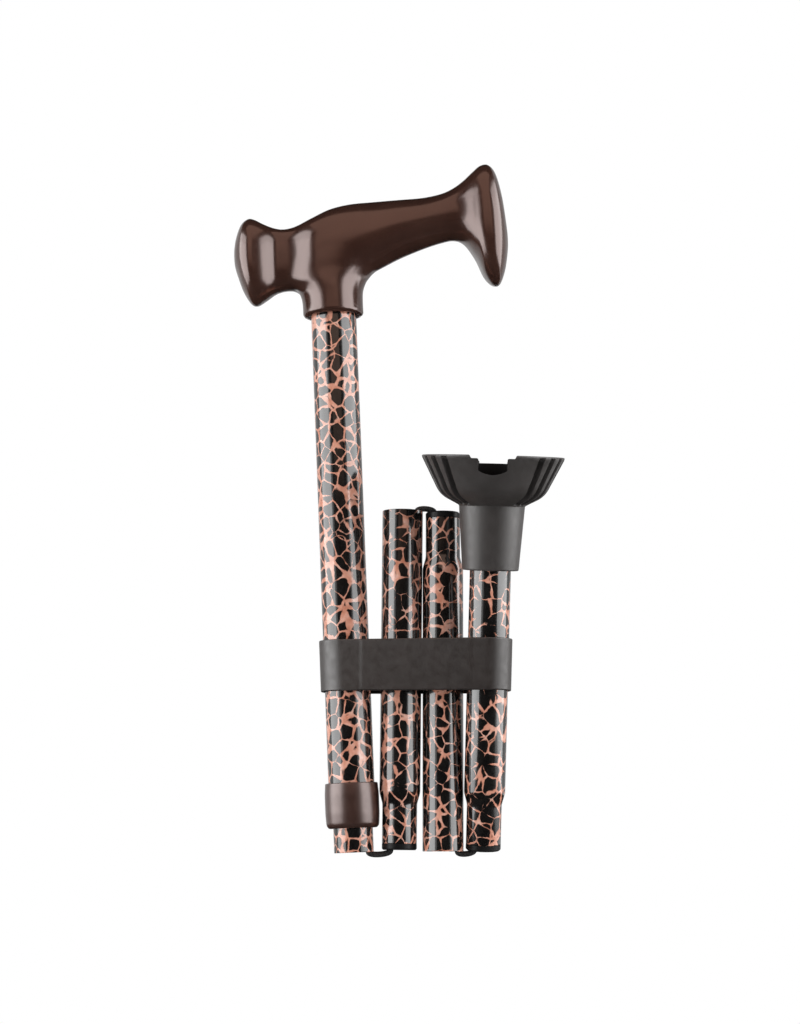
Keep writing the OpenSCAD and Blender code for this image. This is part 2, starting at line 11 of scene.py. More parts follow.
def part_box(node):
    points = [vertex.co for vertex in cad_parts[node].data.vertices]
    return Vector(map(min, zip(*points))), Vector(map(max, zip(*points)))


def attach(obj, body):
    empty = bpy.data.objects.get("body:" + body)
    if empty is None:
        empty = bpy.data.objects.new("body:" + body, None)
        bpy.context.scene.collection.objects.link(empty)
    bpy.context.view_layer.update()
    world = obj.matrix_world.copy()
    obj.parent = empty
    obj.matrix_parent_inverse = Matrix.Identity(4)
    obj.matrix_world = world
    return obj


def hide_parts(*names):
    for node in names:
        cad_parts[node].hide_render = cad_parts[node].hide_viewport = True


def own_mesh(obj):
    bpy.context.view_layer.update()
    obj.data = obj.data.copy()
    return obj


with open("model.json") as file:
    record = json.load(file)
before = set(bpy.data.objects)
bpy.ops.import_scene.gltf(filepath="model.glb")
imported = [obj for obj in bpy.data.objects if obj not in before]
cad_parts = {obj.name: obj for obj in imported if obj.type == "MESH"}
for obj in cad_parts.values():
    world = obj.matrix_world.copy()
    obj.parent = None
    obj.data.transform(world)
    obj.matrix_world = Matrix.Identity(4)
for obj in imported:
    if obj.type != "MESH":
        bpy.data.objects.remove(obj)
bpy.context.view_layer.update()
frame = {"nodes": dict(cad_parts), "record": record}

# Lengths are in millimetres, except where a heading says metres, and are turned into metres with MM
MM = 0.001

# Camera of the photograph: tilt and roll, focal length in pixels, place in the part's frame
PHOTO_HEIGHT = 1024
VIEW_PITCH = math.radians(7.7)
VIEW_ROLL = math.radians(2.33)
VIEW_FOCAL = 2484.6
VIEW_PLACE = (22.06, -1199.1, -296.1)
SENSOR = 36.0

# Meshes: steps and points of round shapes, angle in degrees that stays sharp, welding in metres, overcut
ROUND_STEPS = 112
HOLE_STEPS = 40
BUTTON_STEPS = 48
ARC_POINTS = 9
SHARP = 32.0
WELD = 1e-6
OVERCUT = 1.0

# Rounded corners: largest share of a side, largest half angle and least reach that are rounded
SIDE_SHARE = 0.48
FLATTEST = 1.56
LEAST_REACH = 1e-4

# Directions of the part's frame
BACKWARD = Vector((0, 1, 0))
UPWARD = Vector((0, 0, 1))

# Tubes; the fold tubes are a little wider than the inner one, as the photo shows them
UPPER_R = 11.1
UPPER_BORE_R = 10.1
TUBE_R = 9.5
FOLD_R = 9.85
BORE_R = 8.45
NECK_R = 8.37
NECK_BORE_R = 7.3
NECK_LEN = 22.0
RING_LEN = 3.0
TAPER_LEN = 5.5
TAPER_BEND = 8.0
TAPER_BORE_BEND = 4.0
TUBE_EDGE = 0.35
BORE_EDGE = 0.2

# Height holes and snap button at the back; the holes are cut outward from a start beside the axis
HOLE_R = 3.45
HOLE_COUNT = 7
HOLE_STEP = 20.0
HOLE_START = 6.0
HOLE_REACH = 10.0
BUTTON_EDGE = 0.3
BUTTON_DOME = 1.6

# Collar; pairs are for its lower and its upper end, and its lower corner has a width and a rise
COLLAR_R = 13.0
COLLAR_BORE_R = 11.45
COLLAR_LIP_R = 9.85
COLLAR_LIP = 2.2
COLLAR_CORNER = (1.9, 2.8)
COLLAR_DRAFT = (0.25, 0.4)
COLLAR_WIDEST = (7.0, 5.0)
COLLAR_BULGE = 30.0
COLLAR_LIP_EDGE = 0.4
COLLAR_TOP_EDGE = 1.2
COLLAR_BORE_EDGE = 0.3

# Handle
HANDLE_SPAN = 135.3
HANDLE_H = 72.7
HANDLE_DEPTH = 36.0
KNOB_SIDE_SHARE = 0.354
STEM_R = 14.8
STEM_BORE = 30.0
STEM_BORE_R = 11.12
RIM_RECESS_R = 12.6
RIM_RECESS = 1.6
VOXEL = 0.9
HANDLE_SHARP = 50.0
RING_POINTS = 96
LOFT_STEPS = 8
FIELD_STEPS = 24

# Fillet of grip and stem: its width, what the flanks and their knob side add, and where these two set in
FILLET = 1.0
FLANK_FILLET = 2.0
KNOB_FILLET = 0.6
FLANK = (0.0, 8.0)
KNOB_SIDE = (8.0, 15.0)

# Smoothing of the handle: rounds, probe, limits, and the end caps (shares) and the rim (levels) that stay
RELAX_ROUNDS = (5, 3, 2)
SETTLE_ROUNDS = 8
PROBE = 0.05
LONGEST_MOVE = 0.8
LEAST_SLOPE = 0.2
CAP_SHARES = (0.003, 0.015)
RIM_LEVELS = (0.8, 2.2)

# Rubber foot, levels along the fourth tube
SLEEVE_R = 13.5
SLEEVE_ROOT_R = 15.8
SLEEVE_LEN = 30.9
SLEEVE_EDGE = 0.8
SOCKET_FIT = 0.15
SOCKET_FLOOR = 8.0
FLARE_START = (1.6, 0.9)
FLARE_BEND = (25.0, 4.8)
FLARE_ROUND = 14.0
RIM_R = 34.2
RIM_BEVEL = (0.3, 1.3)
LIP_R = 0.7
TREAD_W = 6.0
HOLLOW_DEPTH = 9.5
HOLLOW_DRAFT = 0.6
HOLLOW_EDGE = 1.0
BOSS_R = 15.0
BOSS_DROP = 3.6
BOSS_DRAFT = 0.4
BOSS_SINK = 0.5
BOSS_EDGE = 0.8
FOOT_STEPS = 720
FLARE_POINTS = 40
FOOT_SHARP = 40.0

# Notches of the foot's rim, and how far their cutters run past the shoulders, the tread and the rim
NOTCH_HALF = 6.8
NOTCH_TURN = math.radians(-2.1)
NOTCH_DEPTH = 9.3
NOTCH_SAG = 2.0
NOTCH_CORNER = 0.9
SHOULDER_HALF = 11.0
SHOULDER_DEPTH = 1.6
SHOULDER_SLOPE = 0.6
PAST_SHOULDER = 4.0
PAST_TREAD = 2.0
PAST_RIM = 3.0

# Grooves of the foot's flare; they narrow towards the sleeve and leave a skin on its root
GROOVE_DEPTH = 2.8
GROOVE_FADE = 2.6
GROOVE_WIDTH = 4.0
GROOVE_NARROW = 0.55
GROOVE_SKIN = 0.1
GROOVE_COUNT = 8
GROOVE_PITCH = math.radians(13.4)

# Strap, with the panel's reach along its front
STRAP_RISE = 89.0
STRAP_H = 24.7
STRAP_T = 1.4
STRAP_GAP = 0.55
STRAP_EDGE = 0.6
STRAP_ARCS = 5
STRAP_TRAVEL = 40.0
STRAP_ROWS = 24
STRAP_POINTS = 420
HULL_STEPS = 720
FACE_MARGIN = 0.9
FACE_SKIN = 0.014
PANEL_REACH = (6.0, 60.0)
PANEL_PROUD = 0.2
PANEL_SOFT = 1.6

# Cord; the middle of a bow reaches a share of its curve's handles
CORD_R = 1.4
CORD_SIDE = 7.0
CORD_OUT = 1.5
CORD_LEAN = 4.25
CORD_LEG = 23.0
CORD_TAIL = 2.3
BOW_SHARE = 0.75
LEG_STEPS = 8
BOW_STEPS = 24
TAIL_STEPS = 3
CORD_SIDES = 20

# Floor in metres: its level, where the unfolded cane ends, half its side, its fade to white, and its tone
FLOOR = -0.9
FLOOR_HALF = 9.0
FLOOR_FADE = (0.5, 1.5)
FLOOR_TONE = 0.86

# Studio in metres: the object's middle and the camera's nearest and farthest sight; then the dim light
MIDDLE = Vector((0.03, 0, -0.13))
CLIP_START = 0.01
CLIP_END = 50.0
AMBIENT = 0.25

# Dark cloths in metres; past the split, the lower cloth lies in front only
CARD_LEFT = -3.0
CARD_RIGHT = 1.75
CARD_FRONT = -2.4
CARD_BACK = 2.7
CARD_LOW = -0.48
CARD_TOP = 1.5
CARD_LIFT = 0.02
SPLIT = 0.8
SPLIT_BACK = -0.7
ABOVE_REACH = 3.0

# Grey and warm cards in metres; each grey one has a side and a glow, the warm one a fade and a glow
GREY_FRONT = (2.2, 0.5)
GREY_BACK = (0.3, 2.6)
GREY_GLOW = {"grey_left": (-1, 0.6), "grey_right": (1, 0.45)}
WARM_HALF = 1.0
WARM_LOW = 0.15
WARM_BACK = -0.25
WARM_FADE = (0.2, 0.68)
WARM_GLOW = 0.85

# Area lamps in metres: angle from the camera's side in degrees, width and radiance of each
BOX_RISE = 0.3
BOX_DISTANCE = 1.3
BOX_H = 1.5
BOXES = {"left_box": (-73.5, 1.42, 3.75), "right_box": (74.5, 1.75, 3.35)}

# Handle stations: shares of the span, of the height at top and bottom, of the half depth; then squareness
GRIP_SHARES = [
    (0.000, 0.488, 0.378, 0.210, 2.0),
    (0.010, 0.571, 0.309, 0.480, 2.1),
    (0.029, 0.655, 0.201, 0.700, 2.3),
    (0.055, 0.692, 0.118, 0.803, 2.5),
    (0.079, 0.685, 0.100, 0.778, 2.7),
    (0.110, 0.652, 0.132, 0.695, 3.0),
    (0.147, 0.623, 0.176, 0.530, 3.3),
    (0.184, 0.611, 0.195, 0.500, 3.4),
    (0.228, 0.627, 0.193, 0.570, 3.3),
    (0.288, 0.678, 0.186, 0.772, 3.0),
    (0.354, 0.737, 0.206, 0.825, 2.5),
    (0.428, 0.769, 0.245, 0.845, 2.2),
    (0.517, 0.780, 0.311, 0.870, 2.0),
    (0.605, 0.787, 0.389, 0.850, 2.0),
    (0.694, 0.795, 0.451, 0.770, 2.0),
    (0.761, 0.817, 0.487, 0.705, 2.1),
    (0.805, 0.849, 0.498, 0.690, 2.3),
    (0.842, 0.893, 0.468, 0.755, 2.6),
    (0.879, 0.952, 0.365, 0.880, 2.8),
    (0.908, 0.994, 0.239, 0.970, 2.8),
    (0.938, 1.000, 0.179, 0.990, 2.7),
    (0.964, 0.941, 0.184, 0.910, 2.5),
    (0.984, 0.791, 0.268, 0.700, 2.3),
    (0.996, 0.605, 0.378, 0.390, 2.1),
    (1.000, 0.523, 0.440, 0.170, 2.0),
]
# Stem stations as shares: height, left and right reach and half depth in stem radii
STEM_SHARES = [
    (0.000, 0.99, 0.98, 1.005),
    (0.008, 1.005, 0.99, 1.018),
    (0.030, 1.01, 0.99, 1.02),
    (0.100, 1.02, 0.99, 1.02),
    (0.150, 1.07, 1.00, 1.02),
    (0.190, 1.18, 1.04, 1.02),
    (0.240, 1.36, 1.15, 1.01),
    (0.300, 1.40, 1.38, 0.99),
    (0.380, 1.30, 1.60, 0.95),
    (0.460, 1.00, 1.50, 0.85),
    (0.540, 0.70, 1.30, 0.60),
]


# Mesh tools

def mesh_object(name, verts, faces):
    """Object from points in metres, welded, turned outward and shaded smooth between sharp edges."""
    mesh = bpy.data.meshes.new(name)
    mesh.from_pydata([tuple(v) for v in verts], [], faces)
    work = bmesh.new()
    work.from_mesh(mesh)
    bmesh.ops.remove_doubles(work, verts=work.verts, dist=WELD)
    bmesh.ops.recalc_face_normals(work, faces=work.faces)
    work.to_mesh(mesh)
    work.free()
    obj = bpy.data.objects.new(name, mesh)
    bpy.context.scene.collection.objects.link(obj)
    shade(obj)
    return obj


def shade(obj, sharp=SHARP):
    """Smooth shading with edges over an angle kept sharp."""
    mesh = obj.data
    mesh.polygons.foreach_set("use_smooth", [True] * len(mesh.polygons))
    mesh.set_sharp_from_angle(angle=math.radians(sharp))
    mesh.update()


def bake(obj):
    """Put what an object's modifiers make into its mesh."""
    graph = bpy.context.evaluated_depsgraph_get()
    old = obj.data
    obj.data = bpy.data.meshes.new_from_object(obj.evaluated_get(graph))
    obj.modifiers.clear()
    bpy.data.meshes.remove(old)


def cut(obj, cutters, sharp=SHARP):
    """Take closed cutters out of an object."""
    for cutter in cutters:
        step = obj.modifiers.new("cut", "BOOLEAN")
        step.operation = "DIFFERENCE"
        step.solver = "EXACT"
        step.object = cutter
    bake(obj)
    for cutter in cutters:
        bpy.data.objects.remove(cutter)
    shade(obj, sharp)


def fillet(points, radius, closed=True, arcs=5):
    """Profile with rounded corners; a radius gives way where a side is short."""
    points = [np.array(p, float) for p in points]
    count = len(points)
    radii = radius if isinstance(radius, (list, tuple)) else [radius] * count
    out = []
    for i, p in enumerate(points):
        if not closed and i in (0, count - 1):
            out.append(p)
            continue
        a = points[i - 1] - p
        b = points[(i + 1) % count] - p
        side_a = np.linalg.norm(a)
        side_b = np.linalg.norm(b)
        half = math.acos(np.clip(a @ b / side_a / side_b, -1, 1)) / 2
        longest = SIDE_SHARE * min(side_a, side_b)
        reach = min(radii[i] / math.tan(half), longest) if half < FLATTEST else 0
        if reach < LEAST_REACH:
            out.append(p)
            continue
        first = p + a / side_a * reach
        last = p + b / side_b * reach
        for t in np.linspace(0, 1, arcs + 1):
            out.append((1 - t) ** 2 * first + 2 * t * (1 - t) * p + t * t * last)
    return out


def even(points, count):
    """Points spaced evenly along a line."""
    points = np.array(points)
    steps = np.concatenate([[0], np.cumsum(np.linalg.norm(np.diff(points, axis=0), axis=1))])
    marks = np.linspace(0, steps[-1], count)
    return np.stack([np.interp(marks, steps, points[:, 0]), np.interp(marks, steps, points[:, 1])], 1)


def grid_faces(rings, count, ring_loop, point_loop):
    """Quads between rings of equal point counts."""
    faces = []
    for i in range(rings if ring_loop else rings - 1):
        for k in range(count if point_loop else count - 1):
            a = i * count + k
            b = i * count + (k + 1) % count
            c = (i + 1) % rings * count + (k + 1) % count
            d = (i + 1) % rings * count + k
            faces.append((a, b, c, d))
    return faces


def loft(rings):
    """Points and faces of a closed body through rings of points."""
    count = len(rings[0])
    faces = grid_faces(len(rings), count, False, True)
    faces.append(tuple(range(count)))
    faces.append(tuple(range((len(rings) - 1) * count, len(rings) * count)))
    return [p for ring in rings for p in ring], faces


def turned(place, r, z, turn):
    """Point at a radius and a level in millimetres and at an angle round the Z axis of a frame."""
    return place @ Vector((r * math.cos(turn) * MM, r * math.sin(turn) * MM, z * MM))


def lathe(name, profile, place, steps=ROUND_STEPS, closed=True):
    """Body of revolution round the Z axis of a frame, from radius and level in millimetres."""
    turns = [2 * math.pi * k / steps for k in range(steps)]
    verts = [turned(place, r, z, turn) for turn in turns for r, z in profile]
    return mesh_object(name, verts, grid_faces(steps, len(profile), True, closed))


def sweep(name, path, radius):
    """Round bar along points in metres, closed at both ends."""
    rings = []
    for i, p in enumerate(path):
        way = (path[min(i + 1, len(path) - 1)] - path[max(i - 1, 0)]).normalized()
        side = BACKWARD.cross(way).normalized()
        back = way.cross(side)
        turns = [2 * math.pi * k / CORD_SIDES for k in range(CORD_SIDES)]
        rings.append([p + (side * math.cos(turn) + back * math.sin(turn)) * radius for turn in turns])
    return mesh_object(name, *loft(rings))


def node_points(node):
    """Points of a CAD node in metres."""
    return np.array([v.co for v in frame["nodes"][node].data.vertices])


def node_length(node, way):
    """Length of a CAD node along a direction, in millimetres."""
    reach = node_points(node) @ np.array(Vector(way).normalized())
    return (reach.max() - reach.min()) / MM


def axis_frame(node, way, side=None):
    """Frame at a turned node's low end along a direction, with that direction as its Z axis."""
    way = Vector(way).normalized()
    side = Vector(side) if side else BACKWARD.cross(way)
    side.normalize()
    back = way.cross(side)
    points = node_points(node)
    middle = Vector()
    for axis in (side, back):
        reach = points @ np.array(axis)
        middle += axis * (reach.min() + reach.max()) / 2
    low = (points @ np.array(way)).min()
    turn = Matrix((side, back, way)).transposed().to_4x4()
    return Matrix.Translation(middle + way * low) @ turn


def axis_of(entries, name):
    """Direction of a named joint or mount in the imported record."""
    return next(Vector(entry["axis"]) for entry in entries if entry["name"] == name)


def dress(obj, material, body, slot, *nodes):
    """Give a piece its material and its body, and hide the nodes that it stands for; the slot is not used.
    """
    obj.data.materials.clear()
    obj.data.materials.append(material)
    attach(obj, body)
    if nodes:
        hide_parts(*nodes)


# Materials

def new_material(name, constants):
    """Material with constants set on its shader; gives its node tree and its shader too."""
    material = bpy.data.materials.new(name)
    material.use_nodes = True
    tree = material.node_tree
    shader = tree.nodes["Principled BSDF"]
    for socket, value in constants.items():
        shader.inputs[socket].default_value = value
    return material, tree, shader


def add(tree, kind, inputs=None, **settings):
    """Node with its settings, constant inputs and links made in one go."""
    node = tree.nodes.new(kind)
    for key, value in settings.items():
        setattr(node, key, value)
    for key, value in (inputs or {}).items():
        if isinstance(value, bpy.types.NodeSocket):
            tree.links.new(value, node.inputs[key])
        else:
            node.inputs[key].default_value = value
    return node


def ramp(tree, factor, stops):
    """Colour ramp from (position, colour) stops."""
    node = add(tree, "ShaderNodeValToRGB", {"Fac": factor})
    marks = node.color_ramp.elements
    while len(marks) < len(stops):
        marks.new(0.5)
    for mark, (position, colour) in zip(marks, stops):
        mark.position = position
        mark.color = (*colour, 1) if isinstance(colour, tuple) else (colour, colour, colour, 1)
    return node.outputs["Color"]


def noise(tree, scale, detail, vector=None, output="Fac"):
    """Noise over the object's own places, or over a vector."""
    where = vector or add(tree, "ShaderNodeTexCoord").outputs["Object"]
    node = add(tree, "ShaderNodeTexNoise", {"Vector": where, "Scale": scale, "Detail": detail})
    return node.outputs[output]


def vary(tree, shader, socket, factor, stops):
    """Let a ramp over a factor feed one of the shader's inputs."""
    tree.links.new(ramp(tree, factor, stops), shader.inputs[socket])


def bump(tree, shader, height, depth, strength):
    """Relief of a height field, with its depth in metres."""
    node = add(tree, "ShaderNodeBump", {"Height": height, "Strength": strength, "Distance": depth})
    tree.links.new(node.outputs["Normal"], shader.inputs["Normal"])


def moulded_plastic(name, low, high, rough, coat, coat_rough):
    """Glossy moulded plastic with a soft mottle and a faint moulding ripple."""
    material, tree, shader = new_material(name, {
        "IOR": 1.68, "Specular Tint": (1.0, 0.78, 0.74, 1),
        "Coat Weight": coat, "Coat IOR": 1.65, "Coat Roughness": coat_rough})
    vary(tree, shader, "Base Color", noise(tree, scale=60, detail=4), [(0.3, low), (0.7, high)])
    wear = noise(tree, scale=420, detail=3)
    vary(tree, shader, "Roughness", wear, [(0.35, rough * 0.88), (0.7, rough * 1.18)])
    bump(tree, shader, noise(tree, scale=240, detail=1), depth=0.00002, strength=0.15)
    return material


def net_mask(tree, where, thinnest, widest):
    """Lines between irregular cells, whose width wanders; widths are shares of a cell."""
    drift = noise(tree, scale=150, detail=1, vector=where, output="Color")
    centred = add(tree, "ShaderNodeVectorMath", {0: drift, 1: (0.5, 0.5, 0.5)}, operation="SUBTRACT")
    shift = add(tree, "ShaderNodeVectorMath", {0: centred.outputs["Vector"], "Scale": 0.0025},
                operation="SCALE")
    bent = add(tree, "ShaderNodeVectorMath", {0: where, 1: shift.outputs["Vector"]}, operation="ADD")
    cells = {"Vector": bent.outputs["Vector"], "Scale": 172.0}
    near = add(tree, "ShaderNodeTexVoronoi", cells, feature="F1").outputs["Distance"]
    far = add(tree, "ShaderNodeTexVoronoi", cells, feature="F2").outputs["Distance"]
    gap = add(tree, "ShaderNodeMath", {0: far, 1: near}, operation="SUBTRACT")
    spread = add(tree, "ShaderNodeMapRange", {
        "Value": noise(tree, scale=140, detail=3, vector=where), "From Min": 0.3, "From Max": 0.7,
        "To Min": thinnest, "To Max": widest})
    line = add(tree, "ShaderNodeMath", {0: spread.outputs["Result"], 1: gap.outputs["Value"]},
               operation="SUBTRACT")
    mask = add(tree, "ShaderNodeMapRange", {
        "Value": line.outputs["Value"], "From Min": -0.02, "From Max": 0.04})
    return mask.outputs["Result"]


def printed_tube(name, thinnest, widest, lacquer, start=(0.0, 0.0, 0.0)):
    """Black lacquered tube with an irregular copper net; its lines are given as shares of a cell."""
    material, tree, shader = new_material(name, {
        "Specular IOR Level": 0.15, "Coat Weight": 1.0, "Coat IOR": lacquer, "Coat Roughness": 0.09})
    place = add(tree, "ShaderNodeTexCoord").outputs["Object"]
    where = add(tree, "ShaderNodeMapping", {
        "Vector": place, "Location": start, "Scale": (1.0, 1.0, 0.9)}).outputs["Vector"]
    mask = net_mask(tree, where, thinnest, widest)
    tint = ramp(tree, noise(tree, scale=260, detail=3, vector=where), [
        (0.3, (0.50, 0.190, 0.118)), (0.55, (0.65, 0.310, 0.222)), (0.75, (0.72, 0.44, 0.355))])
    ground = ramp(tree, noise(tree, scale=180, detail=2, vector=where), [
        (0.3, (0.0040, 0.0036, 0.0034)), (0.75, (0.0105, 0.0092, 0.0086))])
    colour = add(tree, "ShaderNodeMix", {"Factor": mask, "A": ground, "B": tint}, data_type="RGBA")
    tree.links.new(colour.outputs["Result"], shader.inputs["Base Color"])
    vary(tree, shader, "Roughness", noise(tree, scale=500, detail=2), [(0.35, 0.24), (0.7, 0.34)])
    bump(tree, shader, mask, depth=0.00003, strength=0.25)
    return material


def rubber(name, low, high, rough, shade_reach, shine=0.5):
    """Rubber with a fine moulded grain; ambient occlusion paints shade, darkening its colour and dimming
    its reflection in hollows.
    """
    material, tree, shader = new_material(name, {"IOR": 1.68})
    colour = ramp(tree, noise(tree, scale=90, detail=5), [(0.3, low), (0.7, high)])
    # Painted shade: ambient occlusion darkens the rubber's colour in hollows, grooves and under edges
    hollow = add(tree, "ShaderNodeAmbientOcclusion", {"Distance": shade_reach}, samples=8).outputs["AO"]
    painted_shade = ramp(tree, hollow, [(0.3, 0.2), (0.85, 1.0)])
    shaded = add(tree, "ShaderNodeMix", {"Factor": 1.0, "A": colour, "B": painted_shade},
                 data_type="RGBA", blend_type="MULTIPLY")
    tree.links.new(shaded.outputs["Result"], shader.inputs["Base Color"])
    wear = noise(tree, scale=300, detail=3)
    vary(tree, shader, "Roughness", wear, [(0.3, rough - 0.06), (0.7, rough + 0.08)])
    # The same occlusion paints shade on the reflection, dimming it in hollows
    vary(tree, shader, "Specular IOR Level", hollow, [(0.3, 0.1 * shine), (0.8, shine)])
    bump(tree, shader, noise(tree, scale=2600, detail=2), depth=0.00006, strength=0.35)
    return material


def black_plastic():
    """Plain black nylon with a satin skin."""
    material, tree, shader = new_material("black_plastic", {"Specular IOR Level": 0.15})
    vary(tree, shader, "Base Color", noise(tree, scale=200, detail=3), [(0.3, 0.006), (0.7, 0.012)])
    vary(tree, shader, "Roughness", noise(tree, scale=600, detail=2), [(0.3, 0.28), (0.7, 0.42)])
    bump(tree, shader, noise(tree, scale=1800, detail=2), depth=0.00004, strength=0.3)
    return material


def braided_cord():
    """Black elastic cord with a woven cover."""
    material, tree, shader = new_material("braided_cord", {})
    place = add(tree, "ShaderNodeTexCoord").outputs["Object"]
    weave = []
    for tilt in (0.9, -0.9):
        tilted = add(tree, "ShaderNodeMapping", {"Vector": place, "Rotation": (tilt, tilt, 0.0)})
        wave = add(tree, "ShaderNodeTexWave", {
            "Vector": tilted.outputs["Vector"], "Scale": 420.0, "Distortion": 0.6})
        weave.append(wave.outputs["Fac"])
    both = add(tree, "ShaderNodeMath", {0: weave[0], 1: weave[1]}, operation="MAXIMUM").outputs["Value"]
    vary(tree, shader, "Base Color", both, [(0.2, 0.006), (0.95, 0.030)])
    vary(tree, shader, "Roughness", both, [(0.2, 0.75), (0.95, 0.5)])
    bump(tree, shader, both, depth=0.00025, strength=0.6)
    return material


def spring_steel():
    """Bright steel of the snap button and its spring, lightly brushed."""
    material, tree, shader = new_material("spring_steel", {"Metallic": 1.0})
    place = add(tree, "ShaderNodeTexCoord").outputs["Object"]
    drawn = add(tree, "ShaderNodeMapping", {"Vector": place, "Scale": (1.0, 1.0, 0.05)}).outputs["Vector"]
    brush = noise(tree, scale=1500, detail=3, vector=drawn)
    vary(tree, shader, "Base Color", brush, [(0.3, 0.52), (0.7, 0.68)])
    vary(tree, shader, "Roughness", brush, [(0.3, 0.22), (0.7, 0.38)])
    return material


PLASTIC = moulded_plastic("brown_plastic", low=(0.034, 0.014, 0.010), high=(0.044, 0.019, 0.013),
                          rough=0.21, coat=0.30, coat_rough=0.15)
COLLAR = moulded_plastic("collar_plastic", low=(0.034, 0.015, 0.011), high=(0.042, 0.019, 0.014),
                         rough=0.32, coat=0.5, coat_rough=0.30)
WIDE_PRINT = printed_tube("wide_tube_print", thinnest=0.0, widest=0.235, lacquer=1.62)
PRINT = printed_tube("tube_print", thinnest=-0.07, widest=0.235, lacquer=1.70)
INNER_PRINT = printed_tube("inner_tube_print", thinnest=0.0, widest=0.235, lacquer=1.62,
                           start=(0.05, 0.02, 0.0))
BLACK = black_plastic()
CORD = braided_cord()
STEEL = spring_steel()
FOOT = rubber("foot_rubber", low=(0.0325, 0.0282, 0.0265), high=(0.0435, 0.0385, 0.0368),
              rough=0.40, shade_reach=0.012)
# Darker, duller copy of the foot's rubber for the boss: painted shade for the hollow it sits in
SHADE_PAINTED_FOOT = rubber("shade_painted_rubber", low=(0.006, 0.0052, 0.005), high=(0.010, 0.009, 0.0085),
                   rough=0.6, shade_reach=0.01, shine=0.04)
STRAP = rubber("strap_rubber", low=(0.0215, 0.0168, 0.0152), high=(0.0285, 0.0225, 0.0205),
               rough=0.42, shade_reach=0.006)


# Handle

def smooth_rows(rows, steps):
    """Rows between stations on a smooth curve through them."""
    rows = np.array(rows)
    out = []
    last = len(rows) - 1
    for u in np.linspace(0, last, last * steps + 1):
        i = min(int(u), last - 1)
        t = u - i
        a, b, c, d = (rows[max(0, min(last, i + k))] for k in (-1, 0, 1, 2))
        out.append(b + (c - a) * (t / 2) + (2 * a - 5 * b + 4 * c - d) * (t * t / 2)
                   + (3 * b - a - 3 * c + d) * (t ** 3 / 2))
    return out


def handle_body(level):
    """Grip and stem as one overlapping mesh, with the stem's rim at a level."""
    turns = np.linspace(0, 2 * math.pi, RING_POINTS, endpoint=False)
    grip = []
    for at, top, bottom, half, square in smooth_rows(GRIP_SHARES, LOFT_STEPS):
        x = (at - KNOB_SIDE_SHARE) * HANDLE_SPAN
        rise = np.sign(np.cos(turns)) * np.abs(np.cos(turns)) ** (2 / square)
        out = np.sign(np.sin(turns)) * np.abs(np.sin(turns)) ** (2 / square)
        z = ((top + bottom) / 2 + (top - bottom) / 2 * rise) * HANDLE_H
        y = half * HANDLE_DEPTH / 2 * out
        grip.append([(x * MM, b * MM, level + c * MM) for b, c in zip(y, z)])
    stem = []
    for at, left, right, half in smooth_rows(STEM_SHARES, LOFT_STEPS):
        x = ((right - left) / 2 + (right + left) / 2 * np.cos(turns)) * STEM_R
        y = half * STEM_R * np.sin(turns)
        stem.append([(a * MM, b * MM, level + at * HANDLE_H * MM) for a, b in zip(x, y)])
    verts, faces = loft(grip)
    more, ends = loft(stem)
    faces += [tuple(k + len(verts) for k in face) for face in ends]
    return mesh_object("handle", verts + more, faces)


def grip_field(points):
    """About how far points are outside the grip, in millimetres from the stem's rim."""
    rows = np.array(smooth_rows(GRIP_SHARES, FIELD_STEPS))
    at = points[:, 0] / HANDLE_SPAN + KNOB_SIDE_SHARE
    top, bottom, half, square = (np.interp(at, rows[:, 0], rows[:, k]) for k in (1, 2, 3, 4))
    tall = (top - bottom) / 2 * HANDLE_H
    deep = half * HANDLE_DEPTH / 2
    rise = np.abs(points[:, 2] - (top + bottom) / 2 * HANDLE_H) / tall
    out = np.abs(points[:, 1]) / deep
    return ((rise ** square + out ** square) ** (1 / square) - 1) * np.sqrt(tall * deep)


def stem_field(points):
    """About how far points are outside the stem, in millimetres from its rim."""
    rows = np.array(smooth_rows(STEM_SHARES, FIELD_STEPS))
    at = points[:, 2] / HANDLE_H
    left, right, half = (np.interp(at, rows[:, 0], rows[:, k]) for k in (1, 2, 3))
    wide = (right + left) / 2 * STEM_R
    deep = half * STEM_R
    off = (points[:, 0] - (right - left) / 2 * STEM_R) / wide
    above = np.maximum(0, at - rows[-1, 0]) * HANDLE_H
    return (np.hypot(off, points[:, 1] / deep) - 1) * np.sqrt(wide * deep) + above


def ease(low, high, value):
    """Smooth step from 0 to 1 between two levels."""
    t = np.clip((value - low) / (high - low), 0, 1)
    return t * t * (3 - 2 * t)


def handle_field(points):
    """Grip and stem joined with a fillet that is widest on the knob's side of the flanks."""
    grip, stem = grip_field(points), stem_field(points)
    flank = FLANK_FILLET + KNOB_FILLET * ease(*KNOB_SIDE, -points[:, 0])
    soft = FILLET + ease(*FLANK, np.abs(points[:, 1])) * flank
    near = np.maximum(soft - np.abs(grip - stem), 0) / soft
    return np.minimum(grip, stem) - near * near * soft / 4


def settle(points):
    """Points moved onto the handle's joined surface, except at its end caps and its rim."""
    at = points[:, 0] / HANDLE_SPAN + KNOB_SIDE_SHARE
    hold = ease(*CAP_SHARES, at) * ease(*CAP_SHARES, 1 - at) * ease(*RIM_LEVELS, points[:, 2])
    for _ in range(SETTLE_ROUNDS):
        rises = [handle_field(points + way) - handle_field(points - way) for way in np.eye(3) * PROBE]
        slope = np.stack(rises, 1) / (2 * PROBE)
        move = handle_field(points) / np.maximum((slope * slope).sum(1), LEAST_SLOPE)
        move = hold * np.clip(move, -LONGEST_MOVE, LONGEST_MOVE)
        points = points - move[:, None] * slope
    return points


